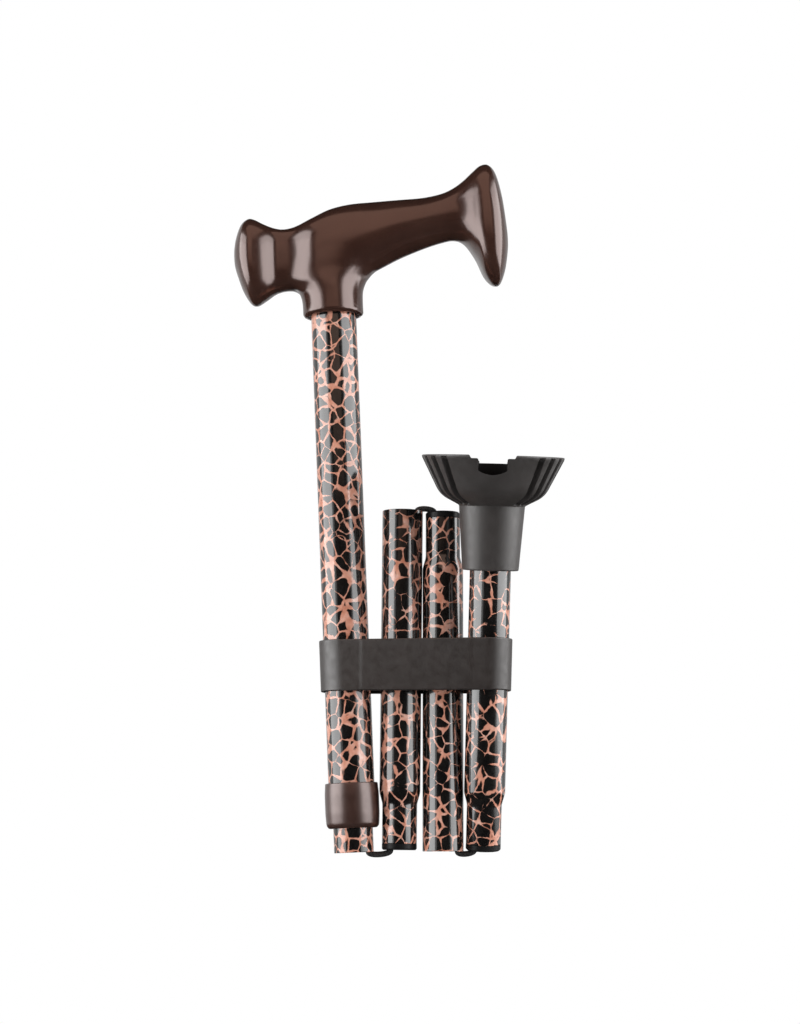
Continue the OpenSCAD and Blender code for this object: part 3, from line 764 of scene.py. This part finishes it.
def relax(points, one, two, rounds):
    """Points drawn towards the middle of their neighbours, given as pairs."""
    count = len(points)
    degree = np.bincount(np.concatenate([one, two]), minlength=count)[:, None]
    for _ in range(rounds):
        total = np.stack([np.bincount(one, points[two, k], count) + np.bincount(two, points[one, k], count)
                          for k in range(3)], 1)
        points = (points + total / degree) / 2
    return points


def smooth_handle(mesh, level):
    """Even out the voxel mesh and lay it on the handle's joined surface."""
    points = np.empty(len(mesh.vertices) * 3)
    mesh.vertices.foreach_get("co", points)
    points = (points.reshape(-1, 3) - (0, 0, level)) / MM
    pairs = np.empty(len(mesh.edges) * 2, int)
    mesh.edges.foreach_get("vertices", pairs)
    one, two = pairs.reshape(-1, 2).T
    for rounds in RELAX_ROUNDS:
        points = settle(relax(points, one, two, rounds))
    mesh.vertices.foreach_set("co", (points * MM + (0, 0, level)).ravel())
    mesh.update()


def round_cutter(name, radius, start, end, place, steps=ROUND_STEPS):
    """Closed cylinder between two levels of a frame."""
    outline = [(0, start), (radius, start), (radius, end), (0, end)]
    return lathe(name, outline, place, steps, closed=False)


def make_handle():
    """Grip flowing into its stem, with the bore and the recess for the upper tube."""
    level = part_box("handle_grip")[0][2]
    obj = handle_body(level)
    join = obj.modifiers.new("join", "REMESH")
    join.mode = "VOXEL"
    join.voxel_size = VOXEL * MM
    bake(obj)
    smooth_handle(obj.data, level)
    down = Matrix.Translation((0, 0, level))
    bore = round_cutter("bore", STEM_BORE_R, -OVERCUT, STEM_BORE, down)
    recess = round_cutter("recess", RIM_RECESS_R, -OVERCUT, RIM_RECESS, down)
    cut(obj, [bore, recess], HANDLE_SHARP)
    dress(obj, PLASTIC, "handle", "handle_plastic", "handle_grip")


# Tubes and collar

def straight_tube(name, node, bore, radius):
    """Upright tube over the height of its node."""
    low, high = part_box(node)
    length = (high[2] - low[2]) / MM
    ring = [(bore, 0), (radius, 0), (radius, length), (bore, length)]
    return lathe(name, fillet(ring, TUBE_EDGE), Matrix.Translation((0, 0, low[2])))


def cut_holes(obj, count):
    """Cut a row of holes into a tube's back, from the snap button's level down."""
    low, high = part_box("snap_button")
    outward = Matrix.Rotation(-math.pi / 2, 4, "X")
    cutters = []
    for k in range(count):
        level = (low[2] + high[2]) / 2 - k * HOLE_STEP * MM
        place = Matrix.Translation((0, HOLE_START * MM, level)) @ outward
        cutters.append(round_cutter("hole", HOLE_R, 0, HOLE_REACH, place, HOLE_STEPS))
    cut(obj, cutters)


def make_upper_tube():
    """Wide tube with its row of height holes at the back."""
    obj = straight_tube("upper_tube_print", "upper_tube", UPPER_BORE_R, UPPER_R)
    cut_holes(obj, HOLE_COUNT)
    dress(obj, WIDE_PRINT, "handle", "tube_print", "upper_tube")


def make_collar():
    """Twist collar, bulged a little, with rounded rims and a lip at its lower end."""
    low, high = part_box("lock_collar")
    tall = (high[2] - low[2]) / MM
    wide, rise = COLLAR_CORNER
    foot_r = COLLAR_R - COLLAR_DRAFT[0] - wide
    turns = np.linspace(0, math.pi / 2, ARC_POINTS)
    corner = [(foot_r + wide * math.sin(turn), rise * (1 - math.cos(turn))) for turn in turns]
    wall = [(COLLAR_R, COLLAR_WIDEST[0]), (COLLAR_R, tall - COLLAR_WIDEST[1]),
            (COLLAR_R - COLLAR_DRAFT[1], tall)]
    bore = [(COLLAR_BORE_R, tall), (COLLAR_BORE_R, COLLAR_LIP), (COLLAR_LIP_R, COLLAR_LIP)]
    ring = [(COLLAR_LIP_R, 0)] + corner + wall + bore
    rounds = ([COLLAR_LIP_EDGE] + [0] * len(corner) + [COLLAR_BULGE, COLLAR_BULGE, COLLAR_TOP_EDGE]
              + [COLLAR_BORE_EDGE] * len(bore))
    obj = lathe("collar_shell", fillet(ring, rounds, arcs=8), Matrix.Translation((0, 0, low[2])))
    dress(obj, COLLAR, "collar", "collar_plastic", "lock_collar")


def make_inner_tube():
    """Narrow tube that slides in the upper one, with the button's hole at its top."""
    obj = straight_tube("inner_tube_print", "inner_tube", BORE_R, TUBE_R)
    cut_holes(obj, 1)
    dress(obj, INNER_PRINT, "inner", "tube_print", "inner_tube")


def make_fold_tube(number, way):
    """Fold tube with its swaged neck at the low end of its direction."""
    node = "tube_%d" % number
    length = node_length(node, way)
    neck = NECK_LEN - RING_LEN
    ring = [(NECK_BORE_R, 0), (NECK_R, 0), (NECK_R, neck), (FOLD_R, neck + TAPER_LEN), (FOLD_R, length),
            (BORE_R, length), (BORE_R, neck + TAPER_LEN), (NECK_BORE_R, neck)]
    rounds = [BORE_EDGE, TUBE_EDGE, TAPER_BEND, TAPER_BEND, TUBE_EDGE,
              BORE_EDGE, TAPER_BORE_BEND, TAPER_BORE_BEND]
    obj = lathe(node + "_print", fillet(ring, rounds, arcs=8), axis_frame(node, way))
    dress(obj, PRINT, "segment_%d" % number, "tube_print", node)


def make_button():
    """Domed snap button at the back."""
    low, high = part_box("snap_button")
    place = axis_frame("snap_button", (0, 1, 0), (1, 0, 0))
    tall = (high[1] - low[1]) / MM
    radius = (high[2] - low[2]) / 2 / MM
    outline = [(0, 0), (radius, 0), (radius, tall), (0, tall)]
    dome = fillet(outline, [0, BUTTON_EDGE, BUTTON_DOME, 0], closed=False, arcs=8)
    obj = lathe("button_dome", dome, place, BUTTON_STEPS, closed=False)
    dress(obj, STEEL, "button", "steel", "snap_button")


# Rubber foot

def groove_off(turn):
    """Angle from the nearest moulded groove's middle to an angle round the foot."""
    offs = []
    for side in (0.0, math.pi):
        for k in range(GROOVE_COUNT):
            middle = side + (k - (GROOVE_COUNT - 1) / 2) * GROOVE_PITCH
            offs.append(abs((turn - middle + math.pi) % (2 * math.pi) - math.pi))
    return min(offs)


def groove_cut(off, r):
    """Depth share of a groove at an angle from its middle and a radius."""
    half = GROOVE_WIDTH / 2 * (GROOVE_NARROW + (1 - GROOVE_NARROW) * r / RIM_R)
    return max(0.0, 1 - (off * r / half) ** 2)


def notch_cutter(place, tread, near, far):
    """Cutter for a notch of the rim between two depths: low shoulders and a bowed floor."""
    low = tread - NOTCH_DEPTH
    step = tread - SHOULDER_DEPTH
    outer = -SHOULDER_HALF - PAST_SHOULDER
    across = np.linspace(-NOTCH_HALF, NOTCH_HALF, ARC_POINTS)
    floor = [(x, low + NOTCH_SAG * (x / NOTCH_HALF) ** 2) for x in across]
    left = [(outer, tread + PAST_TREAD), (outer, tread), (-SHOULDER_HALF, tread),
            (-SHOULDER_HALF + SHOULDER_SLOPE, step), (-NOTCH_HALF, step)]
    right = [(-x, z) for x, z in reversed(left)]
    rounds = [0, 0, NOTCH_CORNER, NOTCH_CORNER, NOTCH_CORNER]
    shape = fillet(left + floor + right, rounds + [NOTCH_CORNER] * len(floor) + rounds[::-1], arcs=6)
    rings = [[place @ Vector((x * MM, y * MM, z * MM)) for x, z in shape] for y in (near, far)]
    return mesh_object("notch", *loft(rings))


def foot_profile(turn, flare, tread):
    """Half section of the foot at an angle, with the flare's line sunk where a groove runs."""
    off = groove_off(turn)
    span = tread - SLEEVE_LEN
    socket_r = FOLD_R + SOCKET_FIT
    start, drop = FLARE_START
    sleeve = [(socket_r, 0), (SLEEVE_R, 0), (SLEEVE_ROOT_R, SLEEVE_LEN),
              (SLEEVE_ROOT_R + start, SLEEVE_LEN + drop)]
    line = fillet(sleeve, [0, SLEEVE_EDGE, SLEEVE_EDGE, 0], closed=False)[:-1]
    for r, z in flare:
        deepest = GROOVE_DEPTH * min(1.0, (span - z) / GROOVE_FADE)
        deep = min(deepest, max(0, r - SLEEVE_ROOT_R - GROOVE_SKIN)) * groove_cut(off, r)
        line.append((r - deep, SLEEVE_LEN + z))
    bevel, rise = RIM_BEVEL
    hollow = tread - HOLLOW_DEPTH
    top = [(RIM_R - bevel, tread - rise), (RIM_R, tread), (RIM_R - TREAD_W, tread),
           (RIM_R - TREAD_W - HOLLOW_DRAFT, hollow), (0, hollow)]
    line += fillet(top, [0, LIP_R, LIP_R, HOLLOW_EDGE, 0], closed=False, arcs=6)[1:]
    floor = tread - BOSS_DROP - SOCKET_FLOOR
    return line + [(0, floor), (socket_r, floor)]


def make_boss(place, low, high):
    """Boss in the foot's hollow, between two levels, in a darker rubber copy that paints the hollow's
    shade.
    """
    outline = [(0, low), (BOSS_R + BOSS_DRAFT, low), (BOSS_R, high), (0, high)]
    rounded = fillet(outline, [0, 0, BOSS_EDGE, 0], closed=False, arcs=6)
    boss = lathe("foot_boss", rounded, place, closed=False)
    dress(boss, SHADE_PAINTED_FOOT, "segment_4", "foot_rubber")


def make_foot(way):
    """Sleeve with a flared base: ribs, two notches, a rounded tread and a boss in its hollow."""
    place = axis_frame("rubber_foot", way) @ Matrix.Rotation(NOTCH_TURN, 4, "Z")
    tread = node_length("rubber_foot", way)
    start, drop = FLARE_START
    bevel, rise = RIM_BEVEL
    bend = [(SLEEVE_ROOT_R + start, drop), FLARE_BEND, (RIM_R - bevel, tread - SLEEVE_LEN - rise)]
    flare = even(fillet(bend, [0, FLARE_ROUND, 0], closed=False, arcs=12), FLARE_POINTS)
    turns = [2 * math.pi * k / FOOT_STEPS for k in range(FOOT_STEPS)]
    lines = [foot_profile(turn, flare, tread) for turn in turns]
    verts = [turned(place, r, z, turn) for turn, line in zip(turns, lines) for r, z in line]
    obj = mesh_object("foot_moulding", verts, grid_faces(FOOT_STEPS, len(lines[0]), True, True))
    inner, outer = BOSS_R + OVERCUT, RIM_R + PAST_RIM
    notches = [notch_cutter(place, tread, near, far) for near, far in ((-outer, -inner), (inner, outer))]
    cut(obj, notches, FOOT_SHARP)
    dress(obj, FOOT, "segment_4", "foot_rubber", "rubber_foot")
    make_boss(place, tread - HOLLOW_DEPTH - BOSS_SINK, tread - BOSS_DROP)


# Strap

def hull_ring(circles, grow):
    """Points spaced evenly along the line that a band takes round circles, from its left end."""
    line = []
    for turn in np.linspace(math.pi, -math.pi, HULL_STEPS, endpoint=False):
        way = np.array((math.cos(turn), math.sin(turn)))
        _, middle, radius = max((m @ way + r, tuple(m), r) for m, r in circles)
        line.append(np.array(middle) + way * (radius + grow))
    return even(line + line[:1], STRAP_POINTS + 1)[:-1]


def strap_section():
    """Section of the strap as distances off the tubes and heights, with rows across its outer face."""
    inside = STRAP_GAP
    outside = STRAP_GAP + STRAP_T
    corners = [(inside, 0), (outside, 0), (outside, STRAP_H), (inside, STRAP_H)]
    edge = fillet(corners, STRAP_EDGE, arcs=STRAP_ARCS)
    face = [np.array((outside, h)) for h in np.linspace(FACE_MARGIN, STRAP_H - FACE_MARGIN, STRAP_ROWS)]
    first, second = STRAP_ARCS + 1, 2 * (STRAP_ARCS + 1)
    return edge[first:second] + face + edge[second:] + edge[:first]


def strap_lines(ways):
    """Axes inside the strap: start, direction, radius and shift; the last is tube 4 after the slide."""
    lines = [(Vector(), UPWARD, UPPER_R, Vector())]
    for number in (2, 3, 4):
        start = axis_frame("tube_%d" % number, ways[number]).to_translation()
        lines.append((start, ways[number], TUBE_R, Vector()))
    return lines + [lines[-1][:3] + (-UPWARD * STRAP_TRAVEL * MM,)]


def panel_rise(x, y, grow):
    """How far the raised panel stands proud at a place of the strap's outer face."""
    if y >= 0 or grow <= STRAP_GAP + STRAP_T - FACE_SKIN:
        return 0.0
    into = min(x - PANEL_REACH[0], PANEL_REACH[1] - x) / PANEL_SOFT
    return PANEL_PROUD * min(1.0, max(0.0, into))


def make_strap(ways):
    """Rubber band that follows the four tubes, with rounded edges and a bare raised panel in front."""
    way = -Vector(ways[3]).normalized()
    side = BACKWARD.cross(way)
    foot = Vector((0, 0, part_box("inner_tube")[0][2] + STRAP_RISE * MM))
    lines = strap_lines(ways)
    section = strap_section()
    verts = []
    for grow, h in section:
        level = foot + way * (h - STRAP_H / 2) * MM
        circles, centres = [], []
        for start, along, radius, slid in lines:
            at = start + along * ((level + slid - start).dot(way) / along.dot(way)) - level - slid
            circles.append((np.array((at.dot(side) / MM, at.y / MM)), radius))
            centres.append(level + at)
        for x, y in hull_ring(circles, grow):
            verts.append(level + side * x * MM + BACKWARD * (y - panel_rise(x, y, grow)) * MM)
    obj = mesh_object("strap_band", verts, grid_faces(len(section), STRAP_POINTS, True, True))
    dress(obj, STRAP, "strap", "strap_rubber", "storage_strap")
    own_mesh(obj)


# Cord

def make_loop(number, socket, out, neck, neck_out):
    """Cord that leaves one tube's open end and goes into the next tube's neck."""
    out = Vector(out).normalized()
    neck_out = Vector(neck_out).normalized()
    across = (neck - socket) - out * (neck - socket).dot(out)
    across.normalize()
    first = socket + across * CORD_SIDE * MM
    last = neck - across * CORD_LEAN * MM
    bow = CORD_OUT / BOW_SHARE * MM
    path = [first - out * CORD_LEG * MM * (1 - k / LEG_STEPS) for k in range(LEG_STEPS)]
    for t in np.linspace(0, 1, BOW_STEPS + 1):
        a, b, c, d = (1 - t) ** 3, 3 * t * (1 - t) ** 2, 3 * t * t * (1 - t), t ** 3
        path.append(first * a + (first + out * bow) * b + (last + neck_out * bow) * c + last * d)
    path += [last - neck_out * CORD_TAIL * MM * (k / TAIL_STEPS) for k in range(1, TAIL_STEPS + 1)]
    obj = sweep("cord_bow_%d" % number, path, CORD_R * MM)
    dress(obj, CORD, "link_%d" % number, "cord", "cord_loop_%d" % number)
    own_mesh(obj)


def make_loops(ways):
    """The three cord loops between the tubes' ends."""
    ends = [(Vector((0, 0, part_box("inner_tube")[0][2])), -UPWARD)]
    for number in (2, 3):
        node = "tube_%d" % number
        way = ways[number].normalized()
        far_end = axis_frame(node, way).to_translation() + way * node_length(node, way) * MM
        ends.append((far_end, way))
    for number in (1, 2, 3):
        socket, out = ends[number - 1]
        neck = axis_frame("grommet_%d" % (number + 1), ways[number + 1]).to_translation()
        make_loop(number, socket, out, neck, -ways[number + 1])


# Studio

def aim(obj, place, target):
    """Put an object at a place and turn it towards a target."""
    obj.location = place
    obj.rotation_euler = (target - place).to_track_quat("-Z", "Y").to_euler()


def make_camera():
    """Camera at the photograph's place, tilt and roll."""
    data = bpy.data.cameras.new("photo_camera")
    data.sensor_width = SENSOR
    data.lens = VIEW_FOCAL * SENSOR / PHOTO_HEIGHT
    data.clip_start = CLIP_START
    data.clip_end = CLIP_END
    camera = bpy.data.objects.new("photo_camera", data)
    bpy.context.scene.collection.objects.link(camera)
    sin_p, cos_p = math.sin(VIEW_PITCH), math.cos(VIEW_PITCH)
    sin_r, cos_r = math.sin(VIEW_ROLL), math.cos(VIEW_ROLL)
    forward = Vector((sin_p * sin_r, cos_p, sin_p * cos_r))
    up = Vector((cos_p * sin_r, -sin_p, cos_p * cos_r))
    turn = Matrix((forward.cross(up), up, -forward)).transposed().to_4x4()
    camera.matrix_world = Matrix.Translation(Vector(VIEW_PLACE) * MM) @ turn
    bpy.context.scene.camera = camera


def softbox(name, turn, width, radiance):
    """Area lamp that looks at the object's middle, at an angle from the camera's side."""
    data = bpy.data.lights.new(name, "AREA")
    data.shape = "RECTANGLE"
    data.size, data.size_y = width, BOX_H
    data.energy = radiance * math.pi * width * BOX_H
    lamp = bpy.data.objects.new(name, data)
    bpy.context.scene.collection.objects.link(lamp)
    lamp.visible_camera = False
    off = Vector((math.sin(turn) * BOX_DISTANCE, -math.cos(turn) * BOX_DISTANCE, BOX_RISE))
    aim(lamp, MIDDLE + off, MIDDLE)


def seen_rays(tree):
    """1 for rays of the camera, of reflections and of transmission, 0 for the rest."""
    path = add(tree, "ShaderNodeLightPath").outputs
    seen = path["Is Camera Ray"]
    for kind in ("Is Glossy Ray", "Is Transmission Ray"):
        seen = add(tree, "ShaderNodeMath", {0: seen, 1: path[kind]}, operation="ADD", use_clamp=True)
        seen = seen.outputs["Value"]
    return seen


def mix_to_surface(tree, output, factor, first, second):
    """Mix two shaders into the surface of an output node."""
    both = add(tree, "ShaderNodeMixShader", {0: factor, 1: first, 2: second})
    add(tree, output, {"Surface": both.outputs["Shader"]})


def make_world():
    """White for the camera and in reflections, dim for the rest."""
    world = bpy.data.worlds.new("studio")
    bpy.context.scene.world = world
    world.use_nodes = True
    tree = world.node_tree
    tree.nodes.clear()
    dim = add(tree, "ShaderNodeBackground", {"Color": (1, 1, 1, 1), "Strength": AMBIENT})
    white = add(tree, "ShaderNodeBackground", {"Color": (1, 1, 1, 1), "Strength": 1.0})
    mix_to_surface(tree, "ShaderNodeOutputWorld", seen_rays(tree), dim.outputs["Background"],
                   white.outputs["Background"])


def level_corners(left, right, front, back, z):
    """Corners of a level rectangle."""
    return [(left, front, z), (right, front, z), (right, back, z), (left, back, z)]


def upright_corners(start, end, low, high):
    """Corners of an upright rectangle between two places of the plan."""
    return [(*start, low), (*end, low), (*end, high), (*start, high)]


def make_floor():
    """Pale floor that turns to the background's white away from the object and keeps the shadow near it."""
    reach = FLOOR_HALF
    obj = mesh_object("floor", level_corners(-reach, reach, -reach, reach, FLOOR), [(0, 1, 2, 3)])
    material = bpy.data.materials.new("pale_floor")
    material.use_nodes = True
    tree = material.node_tree
    tree.nodes.clear()
    place = add(tree, "ShaderNodeTexCoord").outputs["Object"]
    below = (MIDDLE.x, MIDDLE.y, FLOOR)
    far = add(tree, "ShaderNodeVectorMath", {0: place, 1: below}, operation="DISTANCE")
    fade = add(tree, "ShaderNodeMapRange", {
        "Value": far.outputs["Value"], "From Min": FLOOR_FADE[0], "From Max": FLOOR_FADE[1]},
        interpolation_type="SMOOTHSTEP")
    fade = add(tree, "ShaderNodeMath", {0: fade.outputs["Result"], 1: seen_rays(tree)},
               operation="MULTIPLY")
    lit = add(tree, "ShaderNodeBsdfDiffuse", {"Color": (FLOOR_TONE, FLOOR_TONE, FLOOR_TONE, 1)})
    white = add(tree, "ShaderNodeEmission", {"Color": (1, 1, 1, 1), "Strength": 1.0})
    mix_to_surface(tree, "ShaderNodeOutputMaterial", fade.outputs["Value"], lit.outputs["BSDF"],
                   white.outputs["Emission"])
    obj.data.materials.append(material)


def card(name, corners, material):
    """Studio card that only reflections see."""
    obj = mesh_object(name, corners, [(0, 1, 2, 3)])
    obj.data.materials.append(material)
    obj.visible_camera = False
    obj.visible_diffuse = False
    obj.visible_transmission = False
    obj.visible_shadow = False


def glowing(name, colour, strength):
    """Material that only glows."""
    return new_material(name, {"Base Color": (0, 0, 0, 1), "Specular IOR Level": 0.0,
                               "Emission Color": colour, "Emission Strength": strength})


def make_cloths():
    """Dark cloth in front, below and overhead that keeps the gloss deep."""
    cloth, tree, shader = new_material("dark_cloth", {"Roughness": 1.0, "Specular IOR Level": 0.0})
    vary(tree, shader, "Base Color", noise(tree, scale=30, detail=3), [(0.3, 0.010), (0.7, 0.02)])
    ground = FLOOR + CARD_LIFT
    left, right, front, back = CARD_LEFT, CARD_RIGHT, CARD_FRONT, CARD_BACK
    card("cloth_front", upright_corners((-right, front), (right, front), ground, CARD_TOP), cloth)
    card("cloth_floor", level_corners(left, right, front, back, ground), cloth)
    card("cloth_below", level_corners(left, SPLIT, front, back, CARD_LOW), cloth)
    card("cloth_above", level_corners(-ABOVE_REACH, ABOVE_REACH, front, ABOVE_REACH, CARD_TOP), cloth)
    card("cloth_right", level_corners(SPLIT, right, front, SPLIT_BACK, CARD_LOW), cloth)


def make_grey_cards():
    """Grey cards behind the object, one on each side."""
    for name, (side, strength) in GREY_GLOW.items():
        grey, _, _ = glowing(name, (1, 1, 1, 1), strength)
        front = (side * GREY_FRONT[0], GREY_FRONT[1])
        back = (side * GREY_BACK[0], GREY_BACK[1])
        card(name, upright_corners(front, back, CARD_LOW, CARD_TOP), grey)


def make_warm_card():
    """Warm card above the camera that runs on overhead and fades towards its lower edge."""
    glow, tree, shader = glowing("warm_card", (1.0, 0.66, 0.52, 1), WARM_GLOW)
    place = add(tree, "ShaderNodeTexCoord").outputs["Object"]
    height = add(tree, "ShaderNodeSeparateXYZ", {0: place}).outputs["Z"]
    fade = add(tree, "ShaderNodeMapRange", {
        "Value": height, "From Min": WARM_FADE[0], "From Max": WARM_FADE[1], "To Max": WARM_GLOW})
    tree.links.new(fade.outputs["Result"], shader.inputs["Emission Strength"])
    front = CARD_FRONT + CARD_LIFT
    top = CARD_TOP - CARD_LIFT
    card("warm_front", upright_corners((-WARM_HALF, front), (WARM_HALF, front), WARM_LOW, top), glow)
    card("warm_above", level_corners(-WARM_HALF, WARM_HALF, front, WARM_BACK, top), glow)


def dress_hidden_nodes():
    """Materials for the CAD nodes that stay as they are, most of them inside the tubes."""
    finishes = {
        BLACK: ("collet_bushing", "top_anchor", "bottom_anchor", "grommet_2", "grommet_3", "grommet_4"),
        CORD: ("top_knot", "bottom_knot", "cord_run_1", "cord_run_2", "cord_run_3", "cord_run_4"),
        STEEL: ("snap_spring",),
    }
    for material, nodes in finishes.items():
        for node in nodes:
            obj = frame["nodes"][node]
            obj.data.materials.clear()
            obj.data.materials.append(material)


make_camera()
JOINTS = frame["record"]["behaviour"]["joints"]
MOUNTS = frame["record"]["mounts"]
WAYS = {2: -axis_of(JOINTS, "seat_2"), 3: -axis_of(JOINTS, "seat_3"), 4: axis_of(MOUNTS, "foot_tread")}
make_handle()
make_upper_tube()
make_collar()
make_inner_tube()
for tube, direction in WAYS.items():
    make_fold_tube(tube, direction)
make_button()
make_foot(WAYS[4])
make_strap(WAYS)
make_loops(WAYS)
dress_hidden_nodes()
make_world()
make_floor()
make_cloths()
make_grey_cards()
make_warm_card()
for box, (degrees, box_width, box_radiance) in BOXES.items():
    softbox(box, math.radians(degrees), box_width, box_radiance)
bpy.context.scene.view_settings.view_transform = "Standard"
